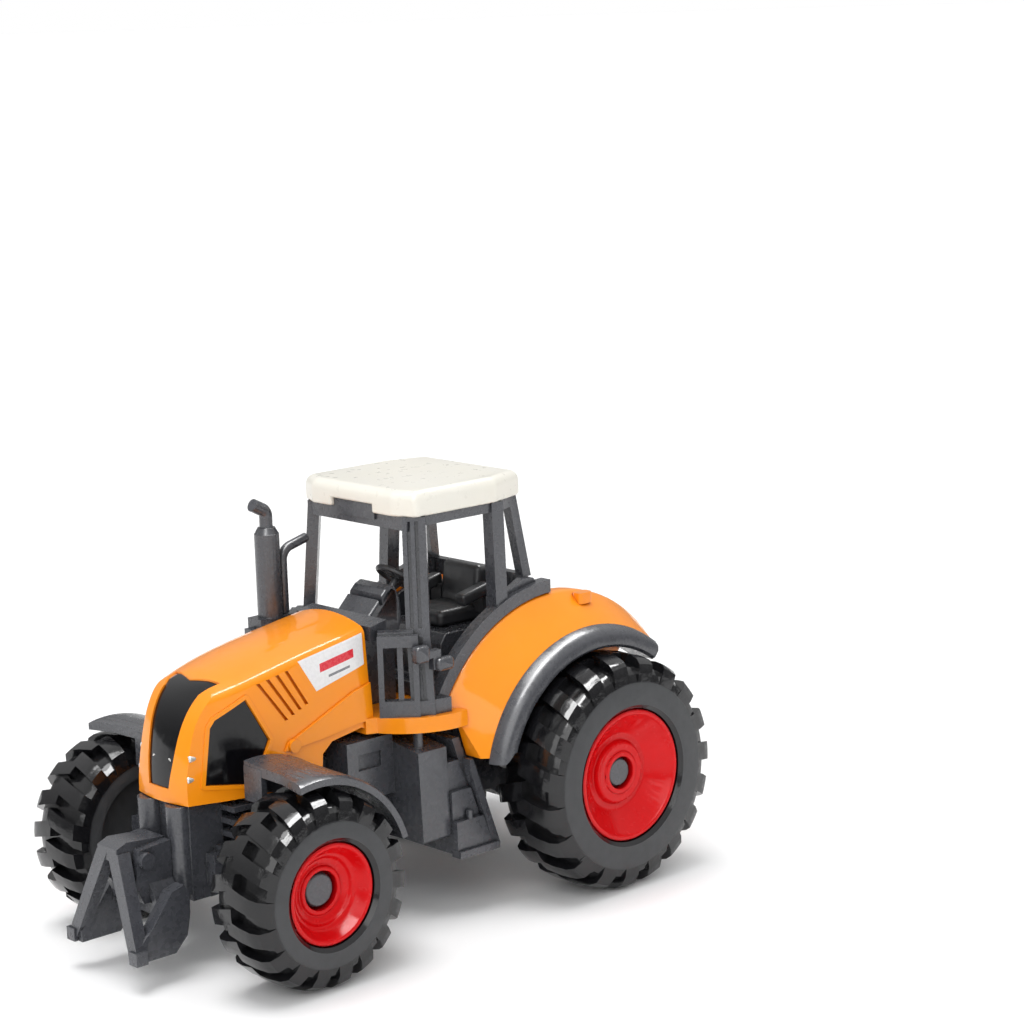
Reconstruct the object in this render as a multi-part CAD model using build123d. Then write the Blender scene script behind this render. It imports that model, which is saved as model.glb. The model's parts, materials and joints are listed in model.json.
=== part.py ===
from build123d import *
import os
from math import cos, radians, sin

os.makedirs("parts", exist_ok=True)

# Toy tractor, die-cast body on a plastic chassis. Millimetres, +X is forward, +Z is up.
# Modelled with the rear axle at X = 0 and the ground at Z = 0, then moved so that the
# origin is under the middle of the toy.

# ---------------------------------------------------------------- driving dimensions
WHEELBASE = 55.0
REAR_TYRE_R = 17.0          # to the tips of the lugs
FRONT_TYRE_R = 13.2
REAR_RIM_R = 9.6
FRONT_RIM_R = 6.9
REAR_TYRE_W = 11.6
FRONT_TYRE_W = 10.9
WHEEL_FACE_Y = 26.3         # outer face of every tyre
REAR_LUGS = 19              # in each of the two rows
FRONT_LUGS = 18
LUG_HEIGHT = 1.3
LUG_FILL = 0.48             # of the pitch
LUG_SLANT = 0.11            # of the radius, over one row
LUG_STAGGER = 0.35          # of the pitch, from the outer row to the inner
LUG_FOOT = 3.6              # from the tips in to where the lugs meet the sidewall
WEB_HOLE_R = 1.3            # in the closed inner side of a tyre
AXLE_R = 1.1
AXLE_CLEARANCE = 0.06       # radial, in the chassis bores

WEB_RECESS = 1.6            # of that side, from the tyre's back edge
WEB_T = 1.2
REAR_CAP_BACK = 4.0         # from a tyre's outer face in to the back of the hub cap
FRONT_CAP_BACK = 4.6

LINKAGE_TIP_X = 74.0
NOSE_X = 63.4
HOOD_REAR_X = 33.2
HOOD_LOW_Z = 22.7
WALL = 1.5                  # thickness of the casting

WAIST_Z = 27.3
WAIST_H = 2.2
CAB_FLOOR_Z = WAIST_Z + WAIST_H
CAB_TOP_Z = 57.0
ROOF_H = 3.6

FENDER_IN_Y = 11.2
FENDER_SHOULDER_Y = 13.0
FENDER_OUT_Y = 18.0
FENDER_OUT_R = 20.8
FENDER_CROWN_R = 24.0
FENDER_CROWN_X = 2.6
FENDER_CROWN_Z = 18.6
FENDER_WELL_R = 18.3
FENDER_LOW_Z = 22.4
FENDER_TAIL = [(-18.0, 60.0), (-18.0, 40.9), (-10.4, 30.8)]   # the cut across the fender's rear end
FENDER_FRONT = [(23.2, 29.5), (20.9, 22.0), (20.9, 0.0), (40.0, 0.0), (40.0, 29.5)]

EXHAUST = (34.9, -11.3)
SCREW_X = (48.0, 12.0)
SCREW_R = 1.0
SCREW_HEAD_Z = 14.0
SCREW_CLEARANCE = 0.05
TOW_PIN_R = 1.1
TOW_PIN_ROOT_R = 1.3
TOW_PIN_X = -13.0
TOW_PLATE_Z = 10.4          # top of the drawbar

ORIGIN_X = (LINKAGE_TIP_X - REAR_TYRE_R) / 2

REAR_AXLE = (0, 0, REAR_TYRE_R)
FRONT_AXLE = (WHEELBASE, 0, FRONT_TYRE_R)
SIDES = {"left": 1, "right": -1}


# ---------------------------------------------------------------- helpers
def save(shape, name):
    """Write one sub-part, moved so that the origin is under the toy's middle."""
    export_step(Pos(-ORIGIN_X, 0, 0) * shape, f"parts/{name}.step")


def to_side(shape, side):
    """A part made for the left side, or its mirror image for the right."""
    return shape if side > 0 else mirror(shape, about=Plane.XZ)


def block(x0, x1, y0, y1, z0, z1):
    """A box between two corners."""
    size = Box(x1 - x0, y1 - y0, z1 - z0, align=(Align.MIN, Align.MIN, Align.MIN))
    return Pos(x0, y0, z0) * size


def prism_y(points, y0, y1):
    """A polygon in side view (x, z), extruded across from y0 to y1."""
    outline = Polyline(*[(x, y0, z) for x, z in points], close=True)
    return extrude(make_face(outline), amount=y1 - y0, dir=(0, 1, 0))


def prism_x(points, x0, x1):
    """A polygon in front view (y, z), extruded along from x0 to x1."""
    outline = Polyline(*[(x0, y, z) for y, z in points], close=True)
    return extrude(make_face(outline), amount=x1 - x0, dir=(1, 0, 0))


def prism_z(points, z0, z1):
    """A polygon in plan (x, y), extruded up from z0 to z1."""
    outline = Polyline(*[(x, y, z0) for x, y in points], close=True)
    return extrude(make_face(outline), amount=z1 - z0, dir=(0, 0, 1))


def post(foot, head, foot_size, head_size, turn=0):
    """A tapered upright between two level rectangles, turned in plan."""
    low = Pos(*foot) * Rot(0, 0, turn) * Rectangle(*foot_size)
    high = Pos(*head) * Rot(0, 0, turn) * Rectangle(*head_size)
    return loft([low, high], ruled=True)


def rod_y(radius, y0, y1, x, z):
    """A round bar lying across the toy."""
    bar = Cylinder(radius, y1 - y0, align=(Align.CENTER, Align.CENTER, Align.MIN))
    return Pos(x, y0, z) * Rot(-90, 0, 0) * bar


def turned_y(points, x, z):
    """A section (radius, y) revolved about the cross axis through (x, z)."""
    outline = Polyline(*[(r, y, 0) for r, y in points], close=True)
    ring = revolve(make_face(outline), axis=Axis.Y)
    return Pos(x, 0, z) * ring


# ---------------------------------------------------------------- hood and nose
# Half widths and heights of the hood at stations along X:
# x, half width low, half width at the shoulder, shoulder height, crown height
HOOD_STATIONS = [
    (HOOD_REAR_X, 9.6, 7.6, 41.9, 43.3),
    (41.0, 9.8, 7.9, 40.6, 42.0),
    (49.0, 9.6, 7.9, 39.1, 40.7),
    (55.5, 8.5, 7.1, 37.6, 39.1),
    (60.5, 6.9, 5.6, 36.3, 37.6),
    (65.0, 5.6, 4.4, 35.1, 36.2),
]
NOSE_PROFILE = [
    (NOSE_X, 21.0), (NOSE_X + 0.1, 25.0), (62.9, 29.2), (62.1, 32.5), (60.5, 35.8), (57.1, 38.4),
]
NOSE_BOW_X = 43.5           # centre of the nose's bow in plan
HOOD_UNDERSIDE = [
    (HOOD_REAR_X, WAIST_Z), (35.2, 28.4), (40.6, 27.6), (42.4, 26.2), (42.8, HOOD_LOW_Z + 0.6),
    (45.5, HOOD_LOW_Z), (70.0, HOOD_LOW_Z), (70.0, 50.0), (HOOD_REAR_X, 50.0),
]
SHOULDER_FILLET = 1.3


def hood_station(x, low, high, edge_z, crown_z, inset):
    """One cross-section of the hood, pulled in by the inset."""
    low -= inset
    high -= inset
    bottom = 15.0
    side = Line((x, low, bottom), (x, high, edge_z - inset))
    crown = ThreePointArc((x, high, edge_z - inset), (x, 0, crown_z - inset), (x, -high, edge_z - inset))
    other = Line((x, -high, edge_z - inset), (x, -low, bottom))
    base = Line((x, -low, bottom), (x, low, bottom))
    return make_face([side, crown, other, base])


def hood_form(inset):
    """The hood's outer form, or a copy of it pulled in by the inset."""
    form = loft([hood_station(*station, inset) for station in HOOD_STATIONS])
    curve = Spline(*[(x - NOSE_BOW_X - inset, 0, z - inset * 0.5) for x, z in NOSE_PROFILE])
    tail = [
        curve @ 1, (10.6, 0, 39.8 - inset), (6.0, 0, 42.2 - inset), (6.0, 0, 60), (40, 0, 60), (40, 0, 15),
    ]
    edge = Polyline(*tail, curve @ 0)
    cutter = revolve(make_face([curve, edge]), axis=Axis.Z)
    cutter = Pos(NOSE_BOW_X, 0, 0) * cutter & block(52, 90, -20, 20, 10, 60)
    return form - cutter


def smooth_hood(inset):
    """The hood's form with its long shoulders rounded."""
    form = hood_form(inset)
    shoulders = [e for e in form.edges() if e.bounding_box().size.X > 15 and e.center().Z > 37]
    return fillet(shoulders, SHOULDER_FILLET - 0.3 * inset)


GRILLE_SIDE = [(2.2, 24.6), (2.8, 28.2), (3.2, 31.5), (3.6, 34.5), (4.0, 37.0), (5.0, 38.2), (5.0, 50)]
GRILLE_TOP = [(80, -8), (80, 8), (56.1, 8), (56.1, 4.9), (57.5, 0), (56.1, -4.9), (56.1, -8)]
VENT = [(54.0, 36.0), (58.5, 33.8), (59.2, 32.8), (60.4, 25.2), (55.0, 24.5), (52.2, 27.3), (50.9, 29.9)]
VENT_BORDER = 0.55
VENT_BORDER_H = 0.2
LABEL = [(45.2, 39.5), (33.7, 41.4), (33.8, 37.0), (42.5, 34.9)]
LOUVRES = 4
CORNER_LAMPS = [(62.6, 5.3, 26.2), (62.15, 5.3, 29.0)]      # tips
GRILLE_LAMPS = [(62.7, 1.7, 28.2), (62.7, -1.7, 28.2)]
LAMP_R = 0.5
LAMP_LENGTH = 1.3
SKIRT_CREASE = [(48.2, 28.9), (36.4, 33.7), (33.0, 34.4)]


def louvre_slots():
    """Four slanted slots through the side, just ahead of the label."""
    slots = []
    for i in range(LOUVRES):
        head = (52.2 - 1.55 * i, 37.7 + 0.3 * i)
        foot = (48.2 - 1.2 * i, 32.0 + 0.5 * i)
        slots.append(prism_y([head, (head[0] - 0.55, head[1]), (foot[0] - 0.55, foot[1]), foot], 3, 12))
    return slots


def crease_skirt():
    """The lower skirt behind the vent, standing slightly proud below a slanted crease."""
    shape = prism_y([(48.8, 27.9), *SKIRT_CREASE, (HOOD_REAR_X, 29.2), (36.0, 29.2), (42.0, 28.4)], 3, 15)
    return (shape & hood_form(-0.35)) - hood_form(0.4)


def grille_area():
    """The grille's outline as a solid: flared in front view, with a notch in its rear edge."""
    front_view = GRILLE_SIDE + [(-y, z) for y, z in reversed(GRILLE_SIDE)]
    return prism_x(front_view, 55.0, 80) & prism_z(GRILLE_TOP, 20, 60)


def vent_border():
    """A low raised border around the left vent."""
    outline = make_face(Polyline(*[(x, 3, z) for x, z in VENT], close=True))
    wide = extrude(offset(outline, VENT_BORDER), amount=12, dir=(0, 1, 0))
    border = wide - extrude(outline, amount=12, dir=(0, 1, 0))
    return (border & hood_form(-VENT_BORDER_H)) - hood_form(0.4)


def body_hood():
    """The hood and nose as a shell, with pockets for the grille, vents and labels."""
    outer = smooth_hood(0)
    hood = outer & prism_y(HOOD_UNDERSIDE, -20, 20)
    cavity = hood_form(WALL + 0.3) & block(HOOD_REAR_X + WALL, 59.6, -20, 20, 10, 60)
    hood -= cavity
    pocket_floor = smooth_hood(0.9)
    hood -= grille_area() - pocket_floor
    shallow = smooth_hood(0.5)
    thin = smooth_hood(0.15)
    for side in SIDES.values():
        hood -= to_side(prism_y(VENT, 3, 15), side) - pocket_floor
        hood -= to_side(prism_y(LABEL, 3, 15), side) - thin
        for slot in louvre_slots():
            hood -= to_side(slot, side) - shallow
        hood += to_side(rod_y(0.9, 8.0, 9.4, 47.3, 28.4), side)
        hood += to_side(crease_skirt(), side)
        hood += to_side(vent_border(), side)
    return hood, outer, pocket_floor, thin


# ---------------------------------------------------------------- waist, floor and fenders
WAIST_PLAN = [(HOOD_REAR_X, 9.6), (28.6, 14.7), (22.0, 15.9)]   # front corner, bowed middle, fender
CAB_REAR_X = 3.6
DECK_REAR_X = -9.0


def waist():
    """The cab's floor: a plate whose sides bow outward from the hood to the fenders."""
    (x0, y0), (x1, y1), (x2, y2) = WAIST_PLAN
    z = WAIST_Z
    left = ThreePointArc((x0, y0, z), (x1, y1, z), (x2, y2, z))
    right = ThreePointArc((x0, -y0, z), (x1, -y1, z), (x2, -y2, z))
    front = Line((x0, y0, z), (x0 + 1.5, y0 - 0.6, z))
    nose = Line((x0 + 1.5, y0 - 0.6, z), (x0 + 1.5, 0.6 - y0, z))
    front_right = Line((x0 + 1.5, 0.6 - y0, z), (x0, -y0, z))
    inner = FENDER_IN_Y
    rear = CAB_REAR_X
    left_back = [(x2, y2, z), (x2, inner, z), (rear, inner, z)]
    back = Polyline(*left_back, *[(x, -y, z) for x, y, z in reversed(left_back)])
    face = make_face([left, right, front, nose, front_right, back])
    return extrude(face, amount=WAIST_H, dir=(0, 0, 1))


def circle_y(radius, x, y, z):
    """A circular face square to Y."""
    return Plane(origin=(x, y, z), x_dir=(1, 0, 0), z_dir=(0, 1, 0)) * Circle(radius)


def fender():
    """The left fender: an oblique cone over the wheel, with a flat inner wall."""
    crown = (FENDER_CROWN_R, FENDER_CROWN_X, FENDER_SHOULDER_Y, FENDER_CROWN_Z)
    rim = (FENDER_OUT_R, 0, FENDER_OUT_Y, REAR_TYRE_R)
    shape = loft([circle_y(*crown), circle_y(*rim)], ruled=True)
    wall_depth = FENDER_SHOULDER_Y - FENDER_IN_Y
    shape += extrude(circle_y(*crown), amount=wall_depth, dir=(0, -1, 0))
    shape -= rod_y(FENDER_WELL_R, FENDER_SHOULDER_Y - 0.1, 30, 0, REAR_TYRE_R)
    front = block(0, 40, 0, 40, FENDER_LOW_Z, 60)
    rear = prism_y([(0, FENDER_LOW_Z), (0, 60), *FENDER_TAIL], 0, 40)
    shape &= front + rear
    shape -= block(8, 40, 0, 14.2, 0, WAIST_Z)
    shape -= prism_y(FENDER_FRONT, 0, 40)
    crown_edges = [e for e in shape.edges() if abs(e.center().Y - FENDER_SHOULDER_Y) < 0.05]
    shape = fillet([e for e in crown_edges if e.length > 30], 1.6)
    tail_lamp = fillet(Box(2.6, 1.8, 1.6).edges().filter_by(Axis.Z), 0.6)
    return shape + Pos(-2.0, 14.6, 41.2) * tail_lamp


def rear_deck():
    """The casting's rear panel between the fenders, behind the seat."""
    front, rear = CAB_REAR_X + 0.6, DECK_REAR_X
    outline = [
        (front, WAIST_Z), (front, 40.0), (front - 2.6, 41.0), (rear, 38.6), (rear, 30.0),
        (rear + 3.0, WAIST_Z),
    ]
    deck = prism_y(outline, -FENDER_IN_Y - 0.2, FENDER_IN_Y + 0.2)
    inner = FENDER_IN_Y - 0.2
    return deck - block(rear + WALL, front - WALL, -inner, inner, 20, 36.8)


def body_shell():
    hood, outer, pocket_floor, label_floor = body_hood()
    shell = hood + waist() + rear_deck()
    for side in SIDES.values():
        shell += to_side(fender(), side)
    front_boss, rear_boss = SCREW_X
    shell += rod_z(2.4, front_boss, 0, SPINE_TOP_Z, 39.4) - rod_z(SCREW_R, front_boss, 0, 20, 26.5)
    shell += rod_z(2.4, rear_boss, 0, SPINE_TOP_Z, WAIST_Z + 0.2)
    shell -= rod_z(SCREW_R, rear_boss, 0, 20, 26.5)
    return shell, outer, pocket_floor, label_floor


def arch_trim():
    """The grey lip along the left fender's outer edge, over the tyre."""
    lip_r = FENDER_WELL_R - 0.6
    section = [
        (lip_r, 15.4), (lip_r, 20.1), (lip_r + 0.4, 20.5), (19.2, 20.5), (19.9, 20.1), (20.5, 19.2),
        (FENDER_OUT_R, FENDER_OUT_Y), (FENDER_WELL_R, FENDER_OUT_Y), (FENDER_WELL_R, 15.4),
    ]
    ring = turned_y(section, 0, REAR_TYRE_R)
    low = FENDER_LOW_Z
    front_cut = [(0, 60), (40, 60), (40, low - 0.8), (19.0, low - 0.8), (17.4, low + 0.6), (0, low)]
    front = prism_y(front_cut, 0, 40)
    rear = prism_y([(0, low), (0, 60), *FENDER_TAIL], 0, 40)
    return ring & (front + rear)


# ---------------------------------------------------------------- cab
CAGE_POST = (1.7, 3.3)       # plates set at 45 degrees across the corners
DOOR_POST = (2.2, 2.0)
REAR_POST = (1.5, 1.6)
FLUTES = (-0.75, 0.35)
FLUTE_SIZE = (0.7, 0.5)
HALF_SQRT2 = 0.5 ** 0.5
A_FOOT = (27.4, 13.0)
A_WAIST = (27.1, 12.0)
A_HEAD = (26.2, 10.9)
B_FOOT = (12.2, 12.0)
B_HEAD = (11.8, 11.2)
D_FOOT = (5.2, 10.0)
D_HEAD = (6.8, 9.0)
CAB_WAIST_Z = 41.0
SEAT_Z = 38.2
SHOULDER_Z = 45.0
RAIL_H = 2.0
HEADER_HALF_W = 4.4         # the raised middle of the windscreen header
HEADER_H = 1.1


def rail(start, end, width, height, low_z):
    """A level bar between two points in plan."""
    (x0, y0), (x1, y1) = start, end
    length = ((x1 - x0) ** 2 + (y1 - y0) ** 2) ** 0.5
    turn = Vector(1, 0, 0).get_signed_angle(Vector(x1 - x0, y1 - y0, 0), Vector(0, 0, 1))
    bar = Box(length, width, height, align=(Align.CENTER, Align.CENTER, Align.MIN))
    return Pos((x0 + x1) / 2, (y0 + y1) / 2, low_z) * Rot(0, 0, turn) * bar


def fluted_post(foot, head, low_z, high_z):
    """A corner plate at 45 degrees, with grooves along its outer face."""
    shape = post((*foot, low_z), (*head, high_z), CAGE_POST, CAGE_POST, 45)
    depth = CAGE_POST[0] / 2
    for along in FLUTES:
        shift_x = (depth - along) * HALF_SQRT2
        shift_y = (depth + along) * HALF_SQRT2
        low = (foot[0] + shift_x, foot[1] + shift_y, low_z + 0.6)
        high = (head[0] + shift_x, head[1] + shift_y, high_z - 0.6)
        shape -= post(low, high, FLUTE_SIZE, FLUTE_SIZE, 45)
    return shape


def quarter_frame():
    """The framed quarter light between the hood and the left front post."""
    front, corner = (32.6, 9.6), (28.4, 13.4)
    foot = CAB_FLOOR_Z
    top = CAB_WAIST_Z
    panel = rail(front, corner, 1.6, top - foot, foot)
    centre = ((front[0] + corner[0]) / 2, (front[1] + corner[1]) / 2)
    dx = (corner[0] - centre[0]) * 0.72
    dy = (corner[1] - centre[1]) * 0.72
    window = rail((centre[0] - dx, centre[1] - dy), (centre[0] + dx, centre[1] + dy), 5, 7.6, 31.8)
    bar = rail((centre[0] - 0.5, centre[1] + 0.4), (centre[0] + 0.1, centre[1] - 0.1), 0.8, 7.8, 31.7)
    return panel - window + bar


def door_sill():
    """The left door's lower frame: the sill, and the curved rail that follows the fender."""
    outer = circle_y(FENDER_CROWN_R + 1.9, FENDER_CROWN_X, 11.4, FENDER_CROWN_Z)
    inner = circle_y(FENDER_CROWN_R + 0.05, FENDER_CROWN_X, 11.4, FENDER_CROWN_Z)
    band = extrude(outer, amount=1.9, dir=(0, 1, 0)) - extrude(inner, amount=1.9, dir=(0, 1, 0))
    band &= block(3.0, 40, 0, 40, CAB_FLOOR_Z, SHOULDER_Z + 1.5)
    plan = [(28.8, 13.6), (28.8, 11.4), (24.0, 11.4), (24.0, 14.9), (26.0, 14.6)]
    return band + prism_z(plan, CAB_FLOOR_Z, 31.6)


def rear_shoulder():
    """The belt that joins the door post and the rear post above the fender."""
    outline = [
        (13.5, 42.0), (13.5, 43.4), (9.4, 44.2), (7.4, 45.2), (5.4, 45.0), (4.6, 43.9), (5.2, 42.7),
        (8.0, 42.7),
    ]
    wall = prism_y(outline, 9.0, 12.3)
    return wall - block(6.0, 15.0, 8.0, 11.0, 40, 50)


def cab_frame():
    """The open cage of the cab, one moulding with its door frames and cowl."""
    foot = CAB_FLOOR_Z
    top = CAB_TOP_Z
    half = quarter_frame() + door_sill() + rear_shoulder()
    half += fluted_post(A_FOOT, A_WAIST, foot, CAB_WAIST_Z)
    half += fluted_post(A_WAIST, A_HEAD, CAB_WAIST_Z, top)
    half += post((*B_FOOT, SHOULDER_Z - 3.0), (*B_HEAD, top), DOOR_POST, DOOR_POST)
    half += post((*D_FOOT, SHOULDER_Z), (*D_HEAD, top), REAR_POST, REAR_POST)
    half += rail((A_HEAD[0] - 0.4, A_HEAD[1] + 0.2), B_HEAD, 1.4, 1.4, top - 1.4)
    half += rail(B_HEAD, D_HEAD, 1.4, 1.6, top - 1.6)
    half += rail((32.0, 9.0), (28.2, 12.2), 1.8, 1.4, CAB_WAIST_Z - 1.0)
    frame = half + mirror(half, about=Plane.XZ)
    frame += rail((26.8, -A_HEAD[1]), (26.8, A_HEAD[1]), 1.6, RAIL_H, top - RAIL_H)
    frame += block(26.2, 27.9, -HEADER_HALF_W, HEADER_HALF_W, top - 1.0, top + HEADER_H)
    frame += rail((D_HEAD[0], -D_HEAD[1]), (D_HEAD[0], D_HEAD[1]), 1.4, 1.6, top - 1.6)
    frame += rail((4.8, -9.8), (4.8, 9.8), 1.4, 2.4, 42.8)
    return frame


def roof():
    """The roof panel: crowned, with cropped front corners and a notch over the header."""
    left = [(28.5, 8.6), (26.9, 12.3), (12.0, 12.4), (5.4, 10.2)]
    plan = left + [(x, -y) for x, y in reversed(left)]
    panel = prism_z(plan, CAB_TOP_Z, CAB_TOP_Z + ROOF_H)
    panel = fillet(panel.edges().filter_by(Axis.Z), 1.3)
    panel = fillet(panel.edges().group_by(Axis.Z)[-1], 1.5)
    notch = HEADER_HALF_W + 0.1
    return panel - block(26.1, 30.0, -notch, notch, CAB_TOP_Z, CAB_TOP_Z + HEADER_H + 0.1)


def dashboard():
    """The cowl and instrument hump behind the windscreen opening."""
    outline = [
        (31.0, CAB_FLOOR_Z), (31.0, 41.0), (28.8, 42.4), (26.9, 44.3), (25.7, 45.5), (24.6, 46.0),
        (23.7, 45.5), (23.0, 43.8), (22.8, 41.4), (23.8, 38.8), (24.6, 36.5), (24.6, CAB_FLOOR_Z),
    ]
    hump = prism_y(outline, -3.6, 3.6)
    brow = [e for e in hump.edges() if e.center().Z > 41.6]
    hump = fillet(brow, 0.5)
    hump -= block(26.4, 27.0, -4.0, 4.0, 43.4, 47.0)
    cowl = prism_y([(32.6, 40.0), (32.6, 42.0), (29.6, 42.6), (29.6, 40.0)], -8.2, 8.2)
    return hump + cowl


def steering_wheel():
    """The wheel, three spokes and a short column, leaning back towards the seat."""
    ring = Torus(2.9, 0.42)
    hub = Cylinder(0.9, 0.8)
    wheel = ring + hub
    for turn in (90, 210, 330):
        wheel += Rot(0, 0, turn) * Pos(1.5, 0, 0) * Box(2.6, 0.6, 0.5)
    column = Pos(0, 0, -1.6) * Cylinder(0.5, 2.6)
    return Pos(20.6, 0, 46.0) * Rot(0, -38, 0) * (wheel + column)


def seat():
    """The driver's seat: cushion, backrest and two arm rests."""
    cushion = Pos(12.0, 0, SEAT_Z + 1.2) * fillet(Box(8.4, 8.0, 2.4).edges(), 0.9)
    back = Pos(7.9, 0, SEAT_Z + 4.1) * Rot(0, -8, 0) * fillet(Box(2.4, 8.0, 7.6).edges(), 0.9)
    arm = Pos(10.8, 5.3, SEAT_Z + 4.4) * Rot(0, 12, 0) * fillet(Box(5.6, 2.0, 1.8).edges(), 0.5)
    arm += Pos(8.6, 4.6, SEAT_Z + 2.8) * Box(1.6, 2.2, 3.0)
    return cushion + back + arm + mirror(arm, about=Plane.XZ)


LINER_Y = FENDER_IN_Y - 0.1
LINER_T = 0.8
LINER_X = 4.4
LINER_TOP_Z = 41.8


def cab_liner():
    """The dark lining of the cab's back half: floor, rear wall and side walls."""
    outer, inner = LINER_Y, LINER_Y - LINER_T
    rear = LINER_X + LINER_T
    walls = block(LINER_X, 21.5, -outer, outer, CAB_FLOOR_Z, LINER_TOP_Z)
    walls -= block(rear, 40, -inner, inner, CAB_FLOOR_Z + LINER_T, 60)
    arch = rod_y(FENDER_CROWN_R - 0.2, -20, 20, FENDER_CROWN_X, FENDER_CROWN_Z)
    return walls & (arch + block(0, rear, -20, 20, 20, 60))


def seat_pedestal():
    """The box under the seat, in one moulding with the cab's lining."""
    outline = [(LINER_X, CAB_FLOOR_Z), (LINER_X, SEAT_Z), (17.8, SEAT_Z), (18.8, 36.8), (19.2, CAB_FLOOR_Z)]
    tub = prism_y(outline, -7.0, 7.0)
    front = [e for e in tub.edges().filter_by(Axis.Y) if e.center().Z > 36 and e.center().X > 10]
    tub = fillet(front, 0.4)
    step = block(19.0, 22.4, -5.0, 5.0, CAB_FLOOR_Z, 31.6)
    return tub + step + cab_liner()


def exhaust_stack():
    """The silencer on the right front corner: base, body, collar and a bent tail pipe."""
    x, y = EXHAUST
    stack = block(x - 2.6, x + 2.8, y - 1.7, y + 1.4, 39.2, 41.2)
    stack += block(x + 2.8, x + 4.0, y - 1.0, y + 0.6, 38.6, 39.9)
    stack += Pos(x, y, 47.1) * Cylinder(1.8, 12.2)
    stack += Pos(x, y, 53.6) * Cone(1.8, 1.25, 1.0)
    path = FilletPolyline((x, y, 53.8), (x, y, 56.4), (x + 2.3, y, 57.6), radius=1.2)
    tail = sweep(Plane(path @ 0, z_dir=path % 0) * Circle(0.95), path=path)
    return stack + tail


def intake_pipe():
    """The thin pipe beside the silencer, bent over to the cage."""
    x, y = EXHAUST
    side = x - 2.55
    end = (A_WAIST[0] + 0.9, y + 0.2, 51.6)
    path = FilletPolyline((side, y, 41.2), (side, y, 50.4), end, radius=2.0)
    return sweep(Plane(path @ 0, z_dir=path % 0) * Circle(0.7), path=path)


def door_mirror():
    """The folded mirror and its bracket on the left front post."""
    bracket = Pos(27.4, 14.4, 38.2) * Box(3.4, 1.2, 1.0)
    head = Pos(29.3, 14.9, 38.6) * fillet(Box(2.4, 1.6, 2.4).edges(), 0.5)
    knob = Pos(25.2, 14.9, 36.6) * fillet(Box(3.0, 1.6, 1.9).edges(), 0.6)
    stalk = Pos(26.4, 14.5, 37.2) * Box(1.4, 1.0, 2.4)
    return bracket + head + knob + stalk


# ---------------------------------------------------------------- chassis
SPINE_HALF_W = 4.4
SPINE_TOP_Z = 24.0
FIN_Z = (17.4, 19.2, 21.0)


def rod_z(radius, x, y, z0, z1):
    """A round bar standing upright."""
    return Pos(x, y, z0) * Cylinder(radius, z1 - z0, align=(Align.CENTER, Align.CENTER, Align.MIN))


def chassis():
    """The plastic spine with its axle housings, front support and fins."""
    w = SPINE_HALF_W
    outline = [
        (-9.5, 12.0), (-9.5, 22.0), (-6.0, SPINE_TOP_Z), (59.0, SPINE_TOP_Z), (59.0, 9.0), (50.0, 9.0),
        (46.0, 12.6), (8.0, 12.6), (5.0, 10.6), (-5.0, 10.6),
    ]
    spine = prism_y(outline, -w, w)
    spine += block(50.8, 58.6, -14.2, 14.2, 10.2, 16.4)
    spine += block(58.4, 60.0, -7.0, 7.0, 11.2, 15.6)
    spine += block(-4.2, 4.2, -12.6, 12.6, 12.6, 21.0)
    spine += block(57.0, 62.4, -5.2, 5.2, 9.4, HOOD_LOW_Z - 0.15)
    for y in (-3.2, 3.2):
        spine += rod_z(1.85, 62.6, y, 10.4, HOOD_LOW_Z - 0.15)
    for z in FIN_Z:
        spine += block(46.2, 57.2, -8.2, 8.2, z, z + 0.8)
    for x in SCREW_X:
        spine -= rod_z(SCREW_R + SCREW_CLEARANCE, x, 0, 5.0, 30.0)
        spine -= rod_z(2.1, x, 0, 5.0, SCREW_HEAD_Z)
    for x, z in ((0, REAR_TYRE_R), (WHEELBASE, FRONT_TYRE_R)):
        spine -= rod_y(AXLE_R + AXLE_CLEARANCE, -30, 30, x, z)
    return spine


def body_screws():
    """Two screws from below, through the spine into the casting's bosses."""
    screws = []
    for x in SCREW_X:
        head = rod_z(1.9, x, 0, SCREW_HEAD_Z - 1.2, SCREW_HEAD_Z)
        head -= Pos(x, 0, SCREW_HEAD_Z - 1.2) * Box(2.6, 0.5, 0.8)
        screws.append(head + rod_z(SCREW_R, x, 0, SCREW_HEAD_Z, 26.5))
    return screws


def side_tank():
    """The left fuel tank with the narrower block ahead of it and a locating pin on top."""
    outline = [(SPINE_HALF_W, 24.4), (9.2, 25.4), (14.6, 24.6), (15.1, 11.6), (SPINE_HALF_W, 11.6)]
    tank = prism_x(outline, 25.0, 30.2)
    tank = fillet(tank.edges().filter_by(Axis.X).group_by(Axis.Y)[-1], 0.5)
    front = block(30.2, 38.4, SPINE_HALF_W, 9.2, 18.0, 26.6)
    front -= block(32.4, 36.4, 8.7, 9.4, 22.4, 24.6)
    pin = rod_z(0.7, 28.4, 12.6, 24.0, WAIST_Z)
    return tank + front + pin


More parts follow.
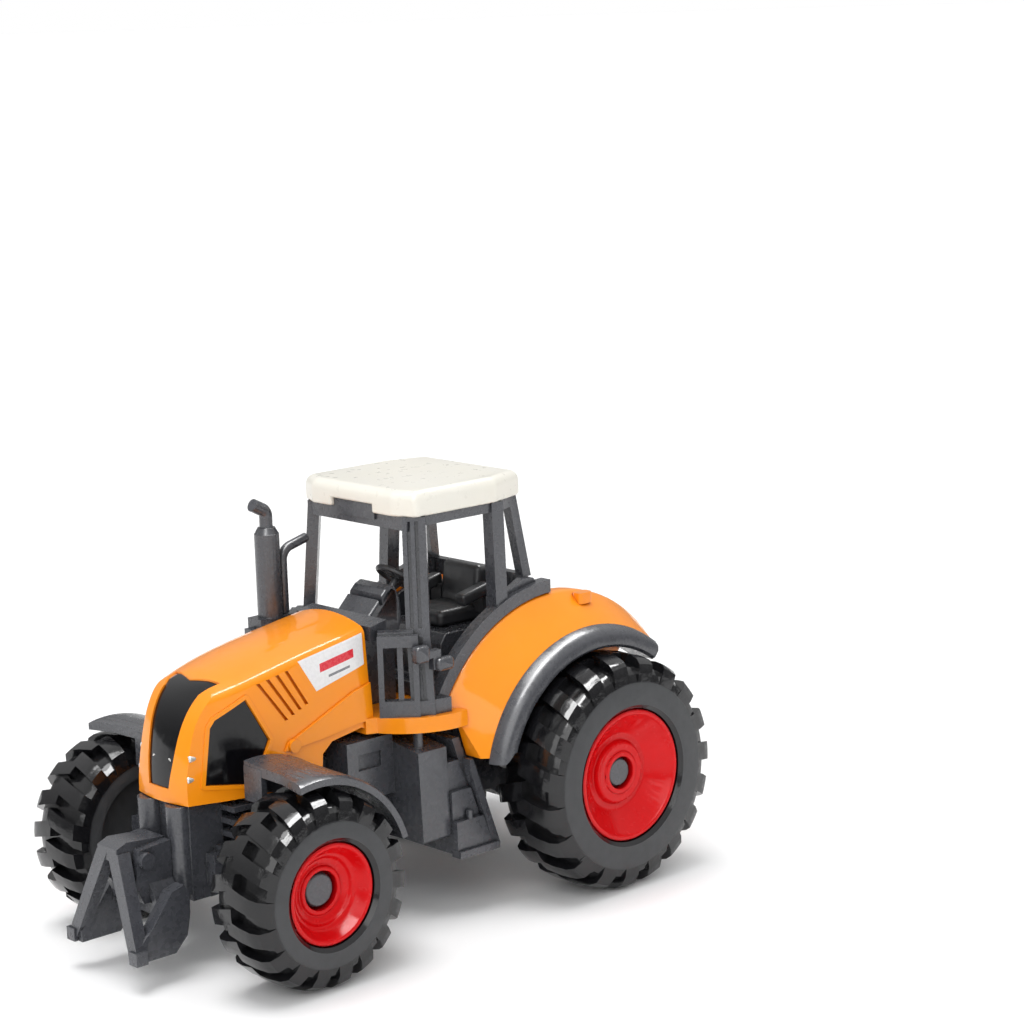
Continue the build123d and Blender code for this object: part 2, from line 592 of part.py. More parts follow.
def step_unit():
    """The left entry steps: three treads in front of a slanted guard."""
    guard = prism_y([(23.9, 25.4), (22.6, 25.4), (16.9, 9.0), (18.2, 9.0)], SPINE_HALF_W, 14.5)
    guard += prism_y([(22.1, 22.3), (21.5, 22.3), (16.9, 9.0), (18.2, 9.0), (22.2, 21.0)], 14.5, 16.2)
    steps = prism_y([(25.0, 22.2), (22.9, 22.2), (21.4, 18.0), (25.0, 18.0)], SPINE_HALF_W, 14.6)
    steps += prism_y([(25.0, 18.0), (21.4, 18.0), (20.0, 13.8), (25.0, 13.8)], SPINE_HALF_W, 15.4)
    steps += prism_y([(25.0, 13.8), (20.0, 13.8), (18.3, 9.0), (25.0, 9.0)], SPINE_HALF_W, 16.3)
    toe = block(17.6, 25.0, 15.0, 16.9, 8.6, 9.6)
    lug = rod_z(0.5, 22.2, 15.8, 13.6, 15.0)
    return guard + steps + toe + lug


FRONT_FENDER_R = 14.1
FRONT_FENDER_T = 1.2
FRONT_FENDER_OUT_Y = 24.2


def front_fender():
    """The left front fender: a band over the wheel, its front lip, skirt and arm."""
    x, z = WHEELBASE, FRONT_TYRE_R
    r, outer = FRONT_FENDER_R, FRONT_FENDER_R + FRONT_FENDER_T
    out_y = FRONT_FENDER_OUT_Y
    section = [
        (r, 10.6), (outer + 0.4, 10.6), (outer + 0.2, 13.0), (outer, out_y - 0.6), (outer - 0.3, out_y),
        (r, out_y),
    ]
    band = turned_y(section, x, z)
    skirt = turned_y([(r - 3.4, 10.6), (r + 0.6, 10.6), (r + 0.6, 11.6), (r - 3.4, 11.6)], x, z)
    front, tail = 58.2, 36.0
    side_view = [(x - 5.0, z + 2.0), (tail, 18.4), (tail, 40), (front, 40), (front, 22), (x, 20)]
    side_mask = prism_y(side_view, 0, 30)
    plan = [(30, 0), (30, out_y - 4), (40, out_y), (front, out_y), (57.2, 19.0), (57.0, 13.0), (57, 0)]
    plan_mask = prism_z(plan, 0, 40)
    lip = block(56.2, 57.1, 10.6, 14.4, 23.4, 28.2)
    arm = block(42.0, 45.6, SPINE_HALF_W, 11.4, 19.2, 22.2)
    return ((band + skirt) & side_mask & plan_mask) + lip + arm


HOOK_SIDE = [
    (64.6, 12.0), (65.4, 13.0), (67.4, 12.4), (70.6, 8.4), (73.4, 5.6), (73.4, 4.0), (67.2, 4.0),
    (65.2, 6.0), (64.6, 9.0),
]


def front_linkage():
    """The fixed front coupler: an A frame, cheek plates and two lower hooks."""
    apex = prism_y([(64.5, 15.4), (64.5, 18.4), (70.6, 18.9), (72.2, 18.2), (72.2, 16.4)], -2.2, 2.2)
    parts = apex
    for side in SIDES.values():
        arm = post((72.9, 7.2, 4.6), (71.2, 1.2, 17.6), (1.8, 2.0), (2.0, 2.4))
        cheek = prism_y([(64.5, 18.2), (69.6, 17.8), (70.4, 13.0), (69.2, 10.4), (64.5, 10.6)], 2.2, 3.6)
        web = post((66.4, 6.4, 8.0), (66.4, 3.0, 13.0), (3.8, 1.2), (3.8, 1.2))
        flange = prism_y(HOOK_SIDE, 5.4, 7.4)
        boss = rod_y(1.1, 3.4, 4.6, 68.8, 16.4)
        toe = block(72.2, 74.0, 6.4, 8.2, 4.0, 5.8)
        for piece in (arm, cheek, web, flange, boss, toe):
            parts += to_side(piece, side)
    parts += rail((67.2, -6.0), (67.2, 6.0), 1.4, 1.6, 8.6)
    return parts


def rear_hitch():
    """The drawbar bracket behind the rear axle."""
    top = TOW_PLATE_Z
    plate = block(-15.4, -5.0, -2.8, 2.8, top - 2.0, top)
    web = prism_y([(-9.5, top), (-9.5, 12.0), (-5.0, 10.6), (-5.0, 8.4)], -2.8, 2.8)
    plate = fillet(plate.edges().filter_by(Axis.Z).group_by(Axis.X)[0], 1.6)
    return plate + web - rod_z(TOW_PIN_ROOT_R, TOW_PIN_X, 0, 0, 20)


def tow_pin():
    """The upright pin that a trailer's eye drops over, on a thicker root with a flange."""
    top = TOW_PLATE_Z
    pin = rod_z(TOW_PIN_R, TOW_PIN_X, 0, top, 15.4)
    pin = fillet(pin.edges().group_by(Axis.Z)[-1], 0.5)
    root = rod_z(TOW_PIN_ROOT_R, TOW_PIN_X, 0, top - 2.6, top + 0.3)
    return pin + root + rod_z(1.8, TOW_PIN_X, 0, top - 2.8, top - 2.0)


# ---------------------------------------------------------------- wheels
def lug(radius, width, lugs):
    """One lug of a left tyre's outer row, at the top of the wheel."""
    mid = WHEEL_FACE_Y - width / 2
    near, far = mid - 0.6, WHEEL_FACE_Y + 0.2
    half = LUG_FILL * radians(180 / lugs) * radius
    slant = LUG_SLANT * radius
    plan = [(-half, near), (half, near), (half + slant, far), (slant - half, far)]
    return prism_z(plan, radius - LUG_FOOT - 1.0, radius + 0.5)


def tyre(radius, rim_r, width, lugs):
    """A left tyre on the cross axis at the origin, with two staggered rows of lugs."""
    face = WHEEL_FACE_Y
    back = face - width
    tread = radius - LUG_HEIGHT
    foot = radius - LUG_FOOT
    web = back + WEB_RECESS
    section = [
        (rim_r, face - 1.1), (rim_r + 0.15, face - 0.5), (rim_r + 0.7, face), (foot, face),
        (foot + 1.3, face - 0.5), (tread - 0.25, face - 1.5), (tread, face - 3.0), (tread, back + 3.0),
        (tread - 0.25, back + 1.5), (foot + 1.3, back + 0.5), (foot, back), (rim_r + 1.0, back),
        (rim_r + 0.4, web), (WEB_HOLE_R, web), (WEB_HOLE_R, web + WEB_T), (rim_r, web + WEB_T),
    ]
    limit = [
        (foot - 0.6, face - 0.3), (foot, face - 0.05), (foot + 1.4, face - 0.1), (radius - 0.9, face - 0.6),
        (radius - 0.3, face - 1.6), (radius, face - 3.6), (radius, back + 3.6), (radius - 0.3, back + 1.6),
        (radius - 0.9, back + 0.6), (foot + 1.4, back + 0.1), (foot, back + 0.05), (foot - 0.6, back + 0.3),
    ]
    outer = lug(radius, width, lugs) & turned_y(limit, 0, 0)
    inner = mirror(outer, about=Plane(origin=(0, face - width / 2, 0), z_dir=(0, 1, 0)))
    pitch = 360 / lugs
    lug_rows = []
    for i in range(lugs):
        lug_rows.append(Rot(0, pitch * i, 0) * outer)
        lug_rows.append(Rot(0, pitch * (i - LUG_STAGGER), 0) * inner)
    return turned_y(section, 0, 0) + lug_rows


def rear_rim():
    """The rear rim: a dish with a raised ring about the hub."""
    f = WHEEL_FACE_Y
    r = REAR_RIM_R
    back = f - REAR_TYRE_W + WEB_RECESS + WEB_T
    section = [
        (r, f - 0.8), (r - 0.2, f - 0.5), (r - 0.7, f - 0.5), (r - 0.95, f - 0.9), (5.6, f - 3.4),
        (4.7, f - 3.5), (4.4, f - 2.8), (4.2, f - 2.6), (3.2, f - 2.7), (3.0, f - 2.4), (2.35, f - 2.4),
        (2.35, f - REAR_CAP_BACK), (AXLE_R, f - REAR_CAP_BACK), (AXLE_R, back), (r, back),
    ]
    return turned_y(section, 0, 0)


def front_rim():
    """The front rim: a dish that steps down to the hub."""
    f = WHEEL_FACE_Y
    r = FRONT_RIM_R
    back = f - FRONT_TYRE_W + WEB_RECESS + WEB_T
    section = [
        (r, f - 0.8), (r - 0.2, f - 0.5), (r - 0.65, f - 0.5), (r - 0.9, f - 0.9), (5.5, f - 1.7),
        (5.2, f - 2.1), (4.7, f - 2.3), (4.4, f - 2.8), (3.8, f - 3.0), (3.4, f - 3.2), (3.2, f - 2.8),
        (2.65, f - 2.8),
        (2.65, f - FRONT_CAP_BACK), (AXLE_R, f - FRONT_CAP_BACK), (AXLE_R, back), (r, back),
    ]
    return turned_y(section, 0, 0)


def hub_cap(radius, recess, depth):
    """The moulded end cap pressed on the axle."""
    f = WHEEL_FACE_Y
    section = [
        (0, f - recess), (radius - 0.25, f - recess), (radius, f - recess - 0.25), (radius, f - depth),
        (0, f - depth),
    ]
    return turned_y(section, 0, 0)


def wheelset(end, axle, tyre_shape, rim_shape, cap, rim_depth):
    """One axle with a wheel at each end."""
    place = Pos(*axle)
    half = WHEEL_FACE_Y - rim_depth
    save(place * rod_y(AXLE_R, -half, half, 0, 0), f"{end}_axle")
    for name, side in SIDES.items():
        save(place * to_side(tyre_shape, side), f"{end}_tyre_{name}")
        save(place * to_side(rim_shape, side), f"{end}_rim_{name}")
        save(place * to_side(cap, side), f"{end}_hub_cap_{name}")


# ---------------------------------------------------------------- lamps
def lamp(x, y, z, radius):
    """A short domed stud that points forward."""
    bar = Cylinder(radius, LAMP_LENGTH, align=(Align.CENTER, Align.CENTER, Align.MAX))
    stud = Pos(x, y, z) * Rot(0, 90, 0) * bar
    return fillet(stud.edges().group_by(Axis.X)[-1], 0.2)


# ---------------------------------------------------------------- assembly
def main():
    corner = [lamp(*place, LAMP_R) for place in CORNER_LAMPS]
    middle = [lamp(*place, LAMP_R) for place in GRILLE_LAMPS]
    shell, hood_outer, pocket_floor, label_floor = body_shell()
    for stud in corner:
        shell = shell - stud - to_side(stud, -1)
    for stud in middle:
        shell -= stud
    skin = smooth_hood(0.25)
    grille = (skin & grille_area()) - pocket_floor
    for stud in middle:
        grille -= stud
    vent = (skin & prism_y(VENT, 3, 15)) - pocket_floor
    label = (hood_outer & prism_y(LABEL, 3, 15)) - label_floor
    save(shell, "body_shell")
    save(grille, "grille_panel")
    save(Compound(children=middle), "grille_lamps")
    save(cab_frame(), "cab_frame")
    save(roof(), "roof_panel")
    save(dashboard(), "dashboard")
    save(steering_wheel(), "steering_wheel")
    save(seat(), "seat")
    save(seat_pedestal(), "seat_pedestal")
    save(exhaust_stack(), "exhaust_stack")
    save(intake_pipe(), "intake_pipe")
    save(chassis(), "chassis")
    save(Compound(children=body_screws()), "body_screws")
    save(front_linkage(), "front_linkage")
    save(rear_hitch(), "rear_hitch")
    save(tow_pin(), "tow_pin")
    for name, side in SIDES.items():
        save(Compound(children=[to_side(stud, side) for stud in corner]), f"corner_lamps_{name}")
        save(to_side(vent, side), f"vent_panel_{name}")
        save(to_side(label, side), f"hood_label_{name}")
        save(to_side(arch_trim(), side), f"arch_trim_{name}")
        save(to_side(door_mirror(), side), f"door_mirror_{name}")
        save(to_side(side_tank(), side), f"side_tank_{name}")
        save(to_side(step_unit(), side), f"step_unit_{name}")
        save(to_side(front_fender(), side), f"front_fender_{name}")
    rear_tyre = tyre(REAR_TYRE_R, REAR_RIM_R, REAR_TYRE_W, REAR_LUGS)
    rear_cap = hub_cap(2.1, 2.9, REAR_CAP_BACK)
    wheelset("rear", REAR_AXLE, rear_tyre, rear_rim(), rear_cap, REAR_CAP_BACK)
    front_tyre = tyre(FRONT_TYRE_R, FRONT_RIM_R, FRONT_TYRE_W, FRONT_LUGS)
    front_cap = hub_cap(2.3, 3.2, FRONT_CAP_BACK)
    wheelset("front", FRONT_AXLE, front_tyre, front_rim(), front_cap, FRONT_CAP_BACK)


main()
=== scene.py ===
import bpy
import bmesh
import json
from math import cos, radians, sin
from mathutils import Matrix, Vector

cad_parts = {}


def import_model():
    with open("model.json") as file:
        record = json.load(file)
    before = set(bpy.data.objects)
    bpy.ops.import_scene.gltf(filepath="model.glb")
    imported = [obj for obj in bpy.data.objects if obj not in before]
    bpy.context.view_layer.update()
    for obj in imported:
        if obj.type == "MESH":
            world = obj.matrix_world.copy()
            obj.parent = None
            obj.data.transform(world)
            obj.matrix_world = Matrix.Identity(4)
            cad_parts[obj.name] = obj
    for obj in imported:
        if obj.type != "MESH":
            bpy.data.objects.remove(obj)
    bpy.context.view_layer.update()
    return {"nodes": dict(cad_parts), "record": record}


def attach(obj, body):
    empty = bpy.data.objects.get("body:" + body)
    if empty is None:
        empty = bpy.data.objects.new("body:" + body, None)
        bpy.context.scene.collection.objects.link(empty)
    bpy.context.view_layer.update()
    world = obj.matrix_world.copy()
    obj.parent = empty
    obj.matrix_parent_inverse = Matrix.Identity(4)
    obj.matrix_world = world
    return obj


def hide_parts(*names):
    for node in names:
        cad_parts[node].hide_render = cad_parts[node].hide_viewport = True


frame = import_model()
scene = bpy.context.scene
MM = 0.001
MM_PER_METRE = 1000
X, Y, Z = range(3)
RECORD = frame["record"]
BODY_OF = {node: body for body, nodes in RECORD["behaviour"]["bodies"].items() for node in nodes}
SLOT_OF = {part["node"]: part["material_slot"] for part in RECORD["subparts"]}

# Axle centres along X and Z, and the radius where each tyre's lugs begin, in mm
REAR_WHEEL = (-28.5, 17.0, 13.4)
FRONT_WHEEL = (26.5, 13.2, 9.6)

# The hood label, in mm. Its top edge falls along X, and the bands are measured down from it.
LABEL_ORIGIN_X = 28.5       # from the rear axle to the origin
LABEL_SLOPE = -0.17
LABEL_TOP_Z = 46.35         # at the rear axle
BAR_DROP = (0.75, 1.95)
BAR_X = (35.6, 41.6)        # from the rear axle
RULE_DROP = (2.75, 3.1)
RULE_X = (36.4, 40.2)       # from the rear axle

SHARP_ANGLE = radians(30)
FLAT_ANGLE = radians(0.5)
MERGE_DISTANCE = 2e-6       # in metres
BEVEL_SEGMENTS = 3
FLOOR_SIZE = 40.0           # in metres

# The camera, in degrees and metres, looks at a point above the rear axle
CAMERA_AZIMUTH, CAMERA_ELEVATION, CAMERA_ROLL = 137.60, 10.73, -1.81
CAMERA_DISTANCE = 0.3908
CAMERA_TARGET = (-0.0306, 0.0, 0.0520)
CAMERA_LENS, CAMERA_SENSOR = 92.67, 36.0

# The world's light, weak at the lower height of the sky and strong at the upper one
WORLD_LOW, WORLD_HIGH = 0.24, 1.0
SKY_LOW, SKY_HIGH = -0.1, 0.75


# ---------------------------------------------------------------- materials
class Shader:
    """A Principled material with a few procedural layers on it."""

    def __init__(self, name, color, metallic=0.0, coat=0.0, coat_rough=0.05, specular=0.5):
        self.mat = bpy.data.materials.new(name)
        self.mat.use_nodes = True
        self.tree = self.mat.node_tree
        self.bsdf = self.tree.nodes["Principled BSDF"]
        self.bsdf.inputs["Metallic"].default_value = metallic
        self.bsdf.inputs["Coat Weight"].default_value = coat
        self.bsdf.inputs["Coat Roughness"].default_value = coat_rough
        self.bsdf.inputs["Specular IOR Level"].default_value = specular
        self.coords = self.tree.nodes.new("ShaderNodeTexCoord")
        self.color = self.rgb(color)
        self.rough = None
        self.normal = None

    def rgb(self, color):
        node = self.tree.nodes.new("ShaderNodeRGB")
        node.outputs[0].default_value = (*color, 1.0)
        return node.outputs[0]

    def link(self, source, target):
        self.tree.links.new(source, target)

    def noise(self, scale, detail, stretch=(1, 1, 1)):
        """Noise whose scale is in features per millimetre."""
        mapping = self.tree.nodes.new("ShaderNodeMapping")
        mapping.inputs["Scale"].default_value = stretch
        self.link(self.coords.outputs["Object"], mapping.inputs["Vector"])
        node = self.tree.nodes.new("ShaderNodeTexNoise")
        node.inputs["Scale"].default_value = scale * MM_PER_METRE
        node.inputs["Detail"].default_value = detail
        self.link(mapping.outputs[0], node.inputs["Vector"])
        return node.outputs["Fac"]

    def ramp(self, source, low, high, to_low=0.0, to_high=1.0):
        node = self.tree.nodes.new("ShaderNodeMapRange")
        for name, number in (("From Min", low), ("From Max", high), ("To Min", to_low), ("To Max", to_high)):
            node.inputs[name].default_value = number
        self.link(source, node.inputs["Value"])
        return node.outputs[0]

    def math(self, operation, a, b=0.0, c=0.0):
        node = self.tree.nodes.new("ShaderNodeMath")
        node.operation = operation
        for socket, term in zip(node.inputs, (a, b, c)):
            if isinstance(term, (int, float)):
                socket.default_value = term
            else:
                self.link(term, socket)
        return node.outputs[0]

    def within(self, source, low, high):
        """One between the two limits, and nothing outside them."""
        above = self.math("GREATER_THAN", source, low)
        below = self.math("LESS_THAN", source, high)
        return self.math("MULTIPLY", above, below)

    def mix(self, factor, a, b):
        node = self.tree.nodes.new("ShaderNodeMix")
        node.data_type = "RGBA"
        self.link(factor, node.inputs["Factor"])
        self.link(a, node.inputs["A"])
        self.link(b, node.inputs["B"])
        return node.outputs["Result"]

    def tint(self, factor, color):
        """Blend the colour so far towards another one."""
        self.color = self.mix(factor, self.color, self.rgb(color))

    def vary_rough(self, source, low, high):
        """Spread a noise, which stays near its middle, over a range of roughness."""
        self.rough = self.ramp(source, 0.3, 0.7, low, high)

    def bump(self, height, depth_mm, strength):
        node = self.tree.nodes.new("ShaderNodeBump")
        node.inputs["Strength"].default_value = strength
        node.inputs["Distance"].default_value = depth_mm * MM
        self.link(height, node.inputs["Height"])
        if self.normal is not None:
            self.link(self.normal, node.inputs["Normal"])
        self.normal = node.outputs[0]

    def paint_corner_shade(self, distance_mm, color, shade_strength):
        """Paint shade into corners: darken the colour towards the given one where ambient occlusion finds
        nearby surfaces.
        """
        node = self.tree.nodes.new("ShaderNodeAmbientOcclusion")
        node.samples = 8
        node.inputs["Distance"].default_value = distance_mm * MM
        self.tint(self.ramp(node.outputs["AO"], 0.35, 0.85, shade_strength, 0.0), color)

    def component(self, source, axis):
        split = self.tree.nodes.new("ShaderNodeSeparateXYZ")
        self.link(self.coords.outputs[source], split.inputs[0])
        return split.outputs[axis]

    def position(self, axis):
        """One coordinate of the surface, in millimetres."""
        return self.math("MULTIPLY", self.component("Object", axis), MM_PER_METRE)

    def done(self):
        self.link(self.color, self.bsdf.inputs["Base Color"])
        if self.rough is not None:
            self.link(self.rough, self.bsdf.inputs["Roughness"])
        if self.normal is not None:
            self.link(self.normal, self.bsdf.inputs["Normal"])
        return self.mat


def orange_paint():
    """Gloss enamel over a casting: a slight orange peel, paler high spots, and painted shade that darkens
    the corners towards brown.
    """
    s = Shader("orange_paint", (0.96, 0.29, 0.005), coat=0.6, coat_rough=0.04, specular=0.15)
    s.tint(s.ramp(s.noise(0.12, 2), 0.35, 0.7, 0.0, 0.25), (1.0, 0.34, 0.008))
    # painted shade: corners darkened towards brown where surfaces are close
    s.paint_corner_shade(0.9, (0.5, 0.08, 0.0), 0.75)
    s.vary_rough(s.noise(0.6, 4), 0.28, 0.42)
    s.bump(s.noise(0.9, 2), 0.02, 0.3)
    s.bump(s.noise(0.16, 2), 0.1, 0.4)
    return s.done()


def grey_plastic(
    name="grey_plastic", color=(0.048, 0.05, 0.058), light=(0.066, 0.069, 0.08), rough=(0.22, 0.34)
):
    """Satin injection-moulded plastic: fine grain, soft flow marks, and painted shade in the corners."""
    s = Shader(name, color, specular=0.85)
    s.tint(s.ramp(s.noise(0.25, 4), 0.35, 0.75, 0.0, 0.55), light)
    # painted shade: corners darkened to a third of the base colour where surfaces are close
    s.paint_corner_shade(0.8, tuple(c * 0.3 for c in color), 0.8)
    s.vary_rough(s.noise(1.0, 4), *rough)
    s.bump(s.noise(7.0, 2), 0.008, 0.3)
    s.bump(s.noise(0.35, 3), 0.08, 0.35)
    return s.done()


def black_gloss():
    s = Shader("black_gloss", (0.003, 0.003, 0.004), coat=0.1, coat_rough=0.03, specular=0.4)
    s.vary_rough(s.noise(1.2, 4), 0.07, 0.18)
    s.tint(s.ramp(s.noise(3.0, 5), 0.62, 0.78, 0.0, 0.35), (0.02, 0.02, 0.022))
    s.bump(s.noise(0.3, 2), 0.08, 0.35)
    return s.done()


def tyre_black(name, centre_x, centre_z, foot):
    """Glossy lugs, and a duller grey sidewall in to the rim from the radius where the lugs begin."""
    s = Shader(name, (0.006, 0.006, 0.007), specular=0.55)
    facing = s.ramp(s.math("ABSOLUTE", s.component("Normal", Y)), 0.8, 0.95)
    along = s.math("SUBTRACT", s.position(X), centre_x)
    above = s.math("SUBTRACT", s.position(Z), centre_z)
    squares = s.math("ADD", s.math("MULTIPLY", along, along), s.math("MULTIPLY", above, above))
    inside = s.ramp(s.math("SQRT", squares), foot + 0.35, foot - 0.05)
    wall = s.math("MULTIPLY", facing, inside)
    mottled = s.math("MULTIPLY", wall, s.ramp(s.noise(0.5, 4), 0.2, 0.7, 0.75, 1.0))
    s.tint(mottled, (0.045, 0.047, 0.05))
    # painted shade: grooves and corners darkened towards black where surfaces are close
    s.paint_corner_shade(0.9, (0.002, 0.002, 0.002), 0.6)
    s.vary_rough(s.noise(0.8, 4), 0.1, 0.2)
    s.rough = s.math("ADD", s.rough, s.math("MULTIPLY", wall, 0.34))
    s.bump(s.noise(5.0, 2), 0.012, 0.5)
    s.bump(s.noise(0.45, 3), 0.14, 0.5)
    return s.done()


def red_rim():
    s = Shader("red_rim", (0.62, 0.002, 0.004), coat=0.1, coat_rough=0.08, specular=0.2)
    s.tint(s.ramp(s.noise(0.3, 3), 0.4, 0.75, 0.0, 0.4), (0.7, 0.006, 0.009))
    # painted shade: the rim's corners and hollows darkened towards deep red
    s.paint_corner_shade(0.9, (0.2, 0.0, 0.002), 0.75)
    s.vary_rough(s.noise(1.0, 4), 0.16, 0.3)
    s.bump(s.noise(0.5, 2), 0.06, 0.45)
    return s.done()


def roof_cream():
    s = Shader("roof_cream", (0.8, 0.78, 0.71), coat=0.25, coat_rough=0.1)
    s.tint(s.ramp(s.noise(0.1, 3), 0.35, 0.7, 0.0, 0.35), (0.84, 0.8, 0.68))
    # painted shade: the roof's corners darkened towards grey-brown where surfaces are close
    s.paint_corner_shade(0.6, (0.45, 0.42, 0.36), 0.6)
    s.vary_rough(s.noise(0.8, 4), 0.26, 0.36)
    s.bump(s.noise(3.0, 2), 0.006, 0.3)
    s.bump(s.noise(0.12, 1), 0.03, 0.25)
    return s.done()


def steel():
    s = Shader("steel_wire", (0.55, 0.55, 0.56), metallic=1.0)
    s.tint(s.ramp(s.noise(1.5, 4), 0.4, 0.8, 0.0, 0.4), (0.3, 0.29, 0.28))
    s.vary_rough(s.noise(4.0, 3, stretch=(1, 0.05, 1)), 0.2, 0.42)
    s.bump(s.noise(6.0, 2, stretch=(1, 0.05, 1)), 0.01, 0.5)
    return s.done()


def silver_dot():
    s = Shader("silver_dot", (0.78, 0.77, 0.74), metallic=0.55)
    s.tint(s.ramp(s.noise(3.0, 3), 0.45, 0.7, 0.0, 0.5), (0.55, 0.53, 0.5))
    s.vary_rough(s.noise(4.0, 3), 0.22, 0.45)
    s.bump(s.noise(5.0, 2), 0.02, 0.5)
    return s.done()


def label_print():
    """A plain white print with a red bar and a grey rule, and no lettering."""
    s = Shader("label_print", (0.84, 0.83, 0.83), coat=0.4, coat_rough=0.06)
    x, z = s.position(X), s.position(Z)
    top = s.math("MULTIPLY_ADD", s.math("ADD", x, LABEL_ORIGIN_X), LABEL_SLOPE, LABEL_TOP_Z)
    drop = s.math("SUBTRACT", top, z)

    def patch(drops, ends, color):
        band = s.within(drop, *drops)
        length = s.within(x, *(end - LABEL_ORIGIN_X for end in ends))
        s.tint(s.math("MULTIPLY", band, length), color)

    patch(BAR_DROP, BAR_X, (0.72, 0.012, 0.03))
    patch(RULE_DROP, RULE_X, (0.2, 0.2, 0.22))
    s.vary_rough(s.noise(2.0, 3), 0.2, 0.36)
    s.bump(s.noise(1.0, 2), 0.03, 0.4)
    return s.done()


MATERIALS = {
    "orange_paint": orange_paint(),
    "grey_plastic": grey_plastic(),
    "black_plastic": grey_plastic("black_plastic", (0.02, 0.021, 0.024), (0.035, 0.036, 0.04), (0.3, 0.5)),
    "black_gloss": black_gloss(),
    "rear_tyre": tyre_black("rear_tyre", *REAR_WHEEL),
    "front_tyre": tyre_black("front_tyre", *FRONT_WHEEL),
    "red_rim": red_rim(),
    "roof_white": roof_cream(),
    "steel": steel(),
    "lamp_silver": silver_dot(),
    "label": label_print(),
}

# How far each node's edges are rounded, in mm, found by the first name that the node carries
EDGE = {
    "body_shell": 0.35, "cab_frame": 0.28, "roof_panel": 0.35, "dashboard": 0.3,
    "seat": 0.2, "steering_wheel": 0.08, "exhaust_stack": 0.2, "intake_pipe": 0.1,
    "chassis": 0.3, "body_screws": 0.12, "front_linkage": 0.35, "rear_hitch": 0.25,
    "tow_pin": 0.15, "grille_panel": 0.12, "vent_panel": 0.12, "hood_label": 0.03,
    "grille_lamps": 0.05, "corner_lamps": 0.05, "arch_trim": 0.3, "door_mirror": 0.25,
    "side_tank": 0.35, "step_unit": 0.3, "front_fender": 0.35, "tyre": 0.38,
    "rim": 0.22, "hub_cap": 0.12, "axle": 0.1,
}


def edge_width(node):
    return MM * next(width for key, width in EDGE.items() if f"_{key}" in f"_{node}")


def material_of(node):
    """The material that the node's slot names, with one of its own for each size of tyre."""
    slot = SLOT_OF[node]
    return MATERIALS["_".join(node.split("_")[:2]) if slot == "tyre" else slot]


def skin(node):
    """Make a rounded-edge copy of a CAD node's surface, which stands for that node."""
    source = frame["nodes"][node]
    mesh = source.data.copy()
    mesh.name = f"skin_{node}"
    obj = bpy.data.objects.new(f"skin_{node}", mesh)
    scene.collection.objects.link(obj)
    form = bmesh.new()
    form.from_mesh(mesh)
    bmesh.ops.remove_doubles(form, verts=form.verts, dist=MERGE_DISTANCE)
    bmesh.ops.dissolve_degenerate(form, edges=form.edges, dist=MERGE_DISTANCE)
    bmesh.ops.dissolve_limit(form, angle_limit=FLAT_ANGLE, verts=form.verts, edges=form.edges)
    bmesh.ops.recalc_face_normals(form, faces=form.faces)
    for face in form.faces:
        face.smooth = True
    for edge in form.edges:
        edge.smooth = not (edge.is_manifold and edge.calc_face_angle(0) > SHARP_ANGLE)
    form.to_mesh(mesh)
    form.free()
    mesh.materials.clear()
    mesh.materials.append(material_of(node))
    bevel = obj.modifiers.new("edges", "BEVEL")
    bevel.width = edge_width(node)
    bevel.segments = BEVEL_SEGMENTS
    bevel.limit_method = "ANGLE"
    bevel.angle_limit = SHARP_ANGLE
    bevel.use_clamp_overlap = True
    bevel.harden_normals = True
    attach(obj, BODY_OF[node])
    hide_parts(node)


for name in sorted(frame["nodes"]):
    skin(name)


# ---------------------------------------------------------------- floor, light and camera
def floor():
    mesh = bpy.data.meshes.new("floor")
    form = bmesh.new()
    bmesh.ops.create_grid(form, x_segments=4, y_segments=4, size=FLOOR_SIZE)
    form.to_mesh(mesh)
    form.free()
    obj = bpy.data.objects.new("floor", mesh)
    scene.collection.objects.link(obj)
    s = Shader("paper", (0.97, 0.97, 0.975), specular=0.2)
    s.bsdf.inputs["Roughness"].default_value = 0.75
    s.tint(s.ramp(s.noise(0.02, 3), 0.3, 0.7, 0.0, 0.4), (0.98, 0.98, 0.98))
    mesh.materials.append(s.done())


def strip(name, place, target, size, power):
    """Hang a long overhead light that only gives highlights."""
    lamp = bpy.data.lights.new(name, "AREA")
    lamp.shape = "RECTANGLE"
    lamp.size, lamp.size_y = size
    lamp.energy = power
    obj = bpy.data.objects.new(name, lamp)
    obj.visible_diffuse = False
    scene.collection.objects.link(obj)
    obj.location = place
    obj.rotation_euler = (Vector(target) - Vector(place)).to_track_quat("-Z", "Y").to_euler()


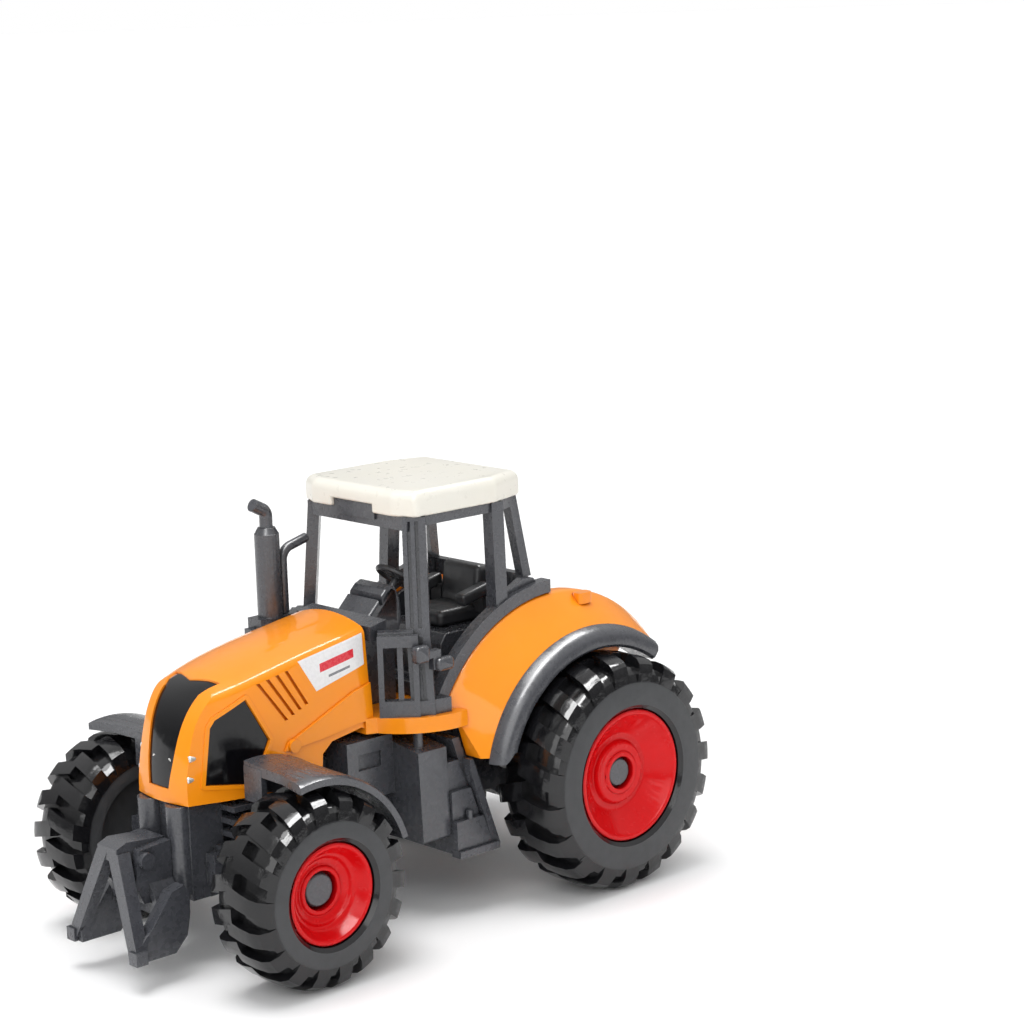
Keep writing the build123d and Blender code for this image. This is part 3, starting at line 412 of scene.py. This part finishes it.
def camera():
    azimuth, elevation, roll = radians(CAMERA_AZIMUTH), radians(CAMERA_ELEVATION), radians(CAMERA_ROLL)
    back = Vector((sin(azimuth) * cos(elevation), -cos(azimuth) * cos(elevation), sin(elevation)))
    right = Vector((cos(azimuth), sin(azimuth), 0.0))
    up = back.cross(right)
    side = right * cos(roll) + up * sin(roll)
    top = up * cos(roll) - right * sin(roll)
    place = Vector(CAMERA_TARGET) + back * CAMERA_DISTANCE
    data = bpy.data.cameras.new("camera")
    data.sensor_width = CAMERA_SENSOR
    data.lens = CAMERA_LENS
    data.clip_start = 0.01
    obj = bpy.data.objects.new("camera", data)
    scene.collection.objects.link(obj)
    obj.matrix_world = Matrix((
        (side.x, top.x, back.x, place.x),
        (side.y, top.y, back.y, place.y),
        (side.z, top.z, back.z, place.z),
        (0, 0, 0, 1),
    ))
    scene.camera = obj


def sun(name, source, strength, angle):
    """Set a distant light that comes from the source direction, over an angle in degrees."""
    lamp = bpy.data.lights.new(name, "SUN")
    lamp.energy = strength
    lamp.angle = radians(angle)
    obj = bpy.data.objects.new(name, lamp)
    scene.collection.objects.link(obj)
    obj.rotation_euler = Vector(source).to_track_quat("Z", "Y").to_euler()


def world():
    """Set a white backdrop, with light that is strong from above and weak from the horizon."""
    data = bpy.data.worlds.new("studio")
    data.use_nodes = True
    tree = data.node_tree
    backdrop = tree.nodes["Background"]
    backdrop.inputs["Color"].default_value = (1.0, 1.0, 1.0, 1.0)
    backdrop.inputs["Strength"].default_value = 1.0
    light = tree.nodes.new("ShaderNodeBackground")
    coords = tree.nodes.new("ShaderNodeTexCoord")
    split = tree.nodes.new("ShaderNodeSeparateXYZ")
    height = tree.nodes.new("ShaderNodeMapRange")
    height.interpolation_type = "SMOOTHSTEP"
    height.inputs["From Min"].default_value = SKY_LOW
    height.inputs["From Max"].default_value = SKY_HIGH
    height.inputs["To Min"].default_value = WORLD_LOW
    height.inputs["To Max"].default_value = WORLD_HIGH
    path = tree.nodes.new("ShaderNodeLightPath")
    pick = tree.nodes.new("ShaderNodeMixShader")
    tree.links.new(coords.outputs["Generated"], split.inputs[0])
    tree.links.new(split.outputs[2], height.inputs["Value"])
    tree.links.new(height.outputs[0], light.inputs["Strength"])
    tree.links.new(path.outputs["Is Camera Ray"], pick.inputs[0])
    tree.links.new(light.outputs[0], pick.inputs[1])
    tree.links.new(backdrop.outputs[0], pick.inputs[2])
    tree.links.new(pick.outputs[0], tree.nodes["World Output"].inputs["Surface"])
    scene.world = data


floor()
sun("key", (0.15, -0.05, 1.0), 1.35, 30)
sun("front", (0.70, 0.60, 0.50), 0.95, 45)
strip("strip", (-0.02, 0.04, 0.36), (0.0, 0.0, 0.0), (0.55, 0.08), 2.4)
camera()
world()
scene.view_settings.view_transform = "Standard"
